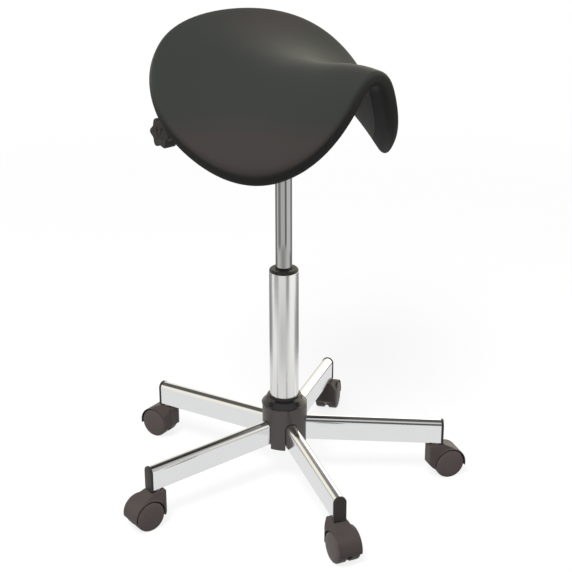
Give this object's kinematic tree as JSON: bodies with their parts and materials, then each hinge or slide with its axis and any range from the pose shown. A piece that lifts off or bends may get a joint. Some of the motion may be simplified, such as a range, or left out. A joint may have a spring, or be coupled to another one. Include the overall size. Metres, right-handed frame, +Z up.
{
  "type": "saddle stool",
  "caption": "Saddle stool with a bent padded saddle seat on a clamped tilt bracket, a gas lift column, and a star base of chromed legs on hooded twin-wheel castors.",
  "frame": {"origin": "on the floor, under the middle of the stool's bounding box, 25 mm from the column's axis because the castors trail different ways", "axes": "+Z up along the column; +X to the right and +Y away, seen from the picture's side; the saddle's pommel points 47 degrees clockwise from +X, seen from above"},
  "size_m": [0.591, 0.6152, 0.8036],
  "materials": {
    "leg_chrome": "polished chrome plate",
    "cylinder_chrome": "hard chrome",
    "column_satin": "satin",
    "pin_steel": "turned",
    "frame_steel": "black powder coat",
    "black_plastic": "semi-gloss",
    "castor_plastic": "moulded satin",
    "shell_plastic": "moulded matt",
    "seat_skin": "dark grey artificial leather",
    "bump_rubber": "matt"
  },
  "bodies": {
    "base": {"hub_socket": "frame_steel", "hub_cover": "black_plastic", "leg_1": "leg_chrome", "leg_2": "leg_chrome", "leg_3": "leg_chrome", "leg_4": "leg_chrome", "leg_5": "leg_chrome", "end_cap_1": "black_plastic", "end_cap_2": "black_plastic", "end_cap_3": "black_plastic", "end_cap_4": "black_plastic", "end_cap_5": "black_plastic", "castor_stem_1": "pin_steel", "castor_stem_2": "pin_steel", "castor_stem_3": "pin_steel", "castor_stem_4": "pin_steel", "castor_stem_5": "pin_steel", "column_tube": "column_satin", "guide_bush": "black_plastic", "bearing_lower_race": "frame_steel"},
    "rod": {"piston_rod": "pin_steel", "bearing_ball_cage": "frame_steel", "bearing_upper_race": "frame_steel", "bump_stop": "bump_rubber", "rod_clip": "frame_steel"},
    "lift": {"gas_cylinder": "cylinder_chrome", "tilt_bracket": "frame_steel", "pivot_pin": "pin_steel", "pivot_clip": "frame_steel"},
    "seat": {"seat_plate": "frame_steel", "seat_shell": "shell_plastic", "seat_pad": "seat_skin", "seat_screw_front_left": "frame_steel", "seat_screw_front_right": "frame_steel", "seat_screw_rear_left": "frame_steel", "seat_screw_rear_right": "frame_steel", "clamp_bolt": "pin_steel", "clamp_sleeve": "black_plastic"},
    "knob": {"star_knob": "black_plastic"},
    "lever": {"release_lever": "frame_steel", "lever_grip": "black_plastic"},
    "valve": {"valve_pin": "pin_steel"},
    "castor_1": {"castor_hood_1": "castor_plastic"},
    "castor_2": {"castor_hood_2": "castor_plastic"},
    "castor_3": {"castor_hood_3": "castor_plastic"},
    "castor_4": {"castor_hood_4": "castor_plastic"},
    "castor_5": {"castor_hood_5": "castor_plastic"},
    "wheel_1_left": {"castor_wheel_1_left": "castor_plastic"},
    "wheel_1_right": {"castor_wheel_1_right": "castor_plastic"},
    "wheel_2_left": {"castor_wheel_2_left": "castor_plastic"},
    "wheel_2_right": {"castor_wheel_2_right": "castor_plastic"},
    "wheel_3_left": {"castor_wheel_3_left": "castor_plastic"},
    "wheel_3_right": {"castor_wheel_3_right": "castor_plastic"},
    "wheel_4_left": {"castor_wheel_4_left": "castor_plastic"},
    "wheel_4_right": {"castor_wheel_4_right": "castor_plastic"},
    "wheel_5_left": {"castor_wheel_5_left": "castor_plastic"},
    "wheel_5_right": {"castor_wheel_5_right": "castor_plastic"}
  },
  "joints": [
    {"name": "column_swivel", "type": "hinge", "parent": "base", "child": "rod", "pos_m": [-0.02547, -0.00023, 0.0775], "axis": [0, 0, 1], "continuous": true},
    {"name": "height_slide", "type": "slide", "parent": "rod", "child": "lift", "axis": [0, 0, -1], "range_m": [0, 0.2]},
    {"name": "seat_tilt", "type": "hinge", "parent": "lift", "child": "seat", "pos_m": [0.00591, -0.03387, 0.68615], "axis": [0.7314, 0.682, 0], "range_deg": [-2, 8]},
    {"name": "clamp_knob_turn", "type": "hinge", "parent": "seat", "child": "knob", "pos_m": [-0.20338, -0.04991, 0.64515], "axis": [-0.7314, -0.682, 0], "range_deg": [0, 360]},
    {"name": "release_lever_lift", "type": "hinge", "parent": "lift", "child": "lever", "pos_m": [-0.0507, -0.02376, 0.69445], "axis": [-0.682, 0.7314, 0], "range_deg": [0, 5], "stiffness_Nm_per_rad": 3, "springref_deg": -5.73},
    {"name": "valve_press", "type": "slide", "parent": "lift", "child": "valve", "axis": [0, 0, -1], "range_m": [0, 0.0033]},
    {"name": "castor_1_swivel", "type": "hinge", "parent": "base", "child": "castor_1", "pos_m": [0.0585, -0.25263, 0.0635], "axis": [0, 0, 1], "continuous": true},
    {"name": "castor_2_swivel", "type": "hinge", "parent": "base", "child": "castor_2", "pos_m": [0.24053, 0.00163, 0.0635], "axis": [0, 0, 1], "continuous": true},
    {"name": "castor_3_swivel", "type": "hinge", "parent": "base", "child": "castor_3", "pos_m": [0.05496, 0.25332, 0.0635], "axis": [0, 0, 1], "continuous": true},
    {"name": "castor_4_swivel", "type": "hinge", "parent": "base", "child": "castor_4", "pos_m": [-0.24175, 0.15461, 0.0635], "axis": [0, 0, 1], "continuous": true},
    {"name": "castor_5_swivel", "type": "hinge", "parent": "base", "child": "castor_5", "pos_m": [-0.23957, -0.15808, 0.0635], "axis": [0, 0, 1], "continuous": true},
    {"name": "wheel_1_left_spin", "type": "hinge", "parent": "castor_1", "child": "wheel_1_left", "pos_m": [0.06759, -0.27267, 0.0265], "axis": [0.9107, 0.4131, 0], "continuous": true},
    {"name": "wheel_1_right_spin", "type": "hinge", "parent": "castor_1", "child": "wheel_1_right", "pos_m": [0.06759, -0.27267, 0.0265], "axis": [0.9107, 0.4131, 0], "continuous": true},
    {"name": "wheel_2_left_spin", "type": "hinge", "parent": "castor_2", "child": "wheel_2_left", "pos_m": [0.2614, 0.00857, 0.0265], "axis": [-0.3156, 0.9489, 0], "continuous": true},
    {"name": "wheel_2_right_spin", "type": "hinge", "parent": "castor_2", "child": "wheel_2_right", "pos_m": [0.2614, 0.00857, 0.0265], "axis": [-0.3156, 0.9489, 0], "continuous": true},
    {"name": "wheel_3_left_spin", "type": "hinge", "parent": "castor_3", "child": "wheel_3_left", "pos_m": [0.05976, 0.27479, 0.0265], "axis": [-0.9759, 0.2181, 0], "continuous": true},
    {"name": "wheel_3_right_spin", "type": "hinge", "parent": "castor_3", "child": "wheel_3_right", "pos_m": [0.05976, 0.27479, 0.0265], "axis": [-0.9759, 0.2181, 0], "continuous": true},
    {"name": "wheel_4_left_spin", "type": "hinge", "parent": "castor_4", "child": "wheel_4_left", "pos_m": [-0.25986, 0.16711, 0.0265], "axis": [-0.5678, -0.8231, 0], "continuous": true},
    {"name": "wheel_4_right_spin", "type": "hinge", "parent": "castor_4", "child": "wheel_4_right", "pos_m": [-0.25986, 0.16711, 0.0265], "axis": [-0.5678, -0.8231, 0], "continuous": true},
    {"name": "wheel_5_left_spin", "type": "hinge", "parent": "castor_5", "child": "wheel_5_left", "pos_m": [-0.25705, -0.17144, 0.0265], "axis": [0.6074, -0.7944, 0], "continuous": true},
    {"name": "wheel_5_right_spin", "type": "hinge", "parent": "castor_5", "child": "wheel_5_right", "pos_m": [-0.25705, -0.17144, 0.0265], "axis": [0.6074, -0.7944, 0], "continuous": true}
  ],
  "couplings": [
    {"joint": "valve_press", "follows": "release_lever_lift", "m_per_rad": 0.0345}
  ]
}
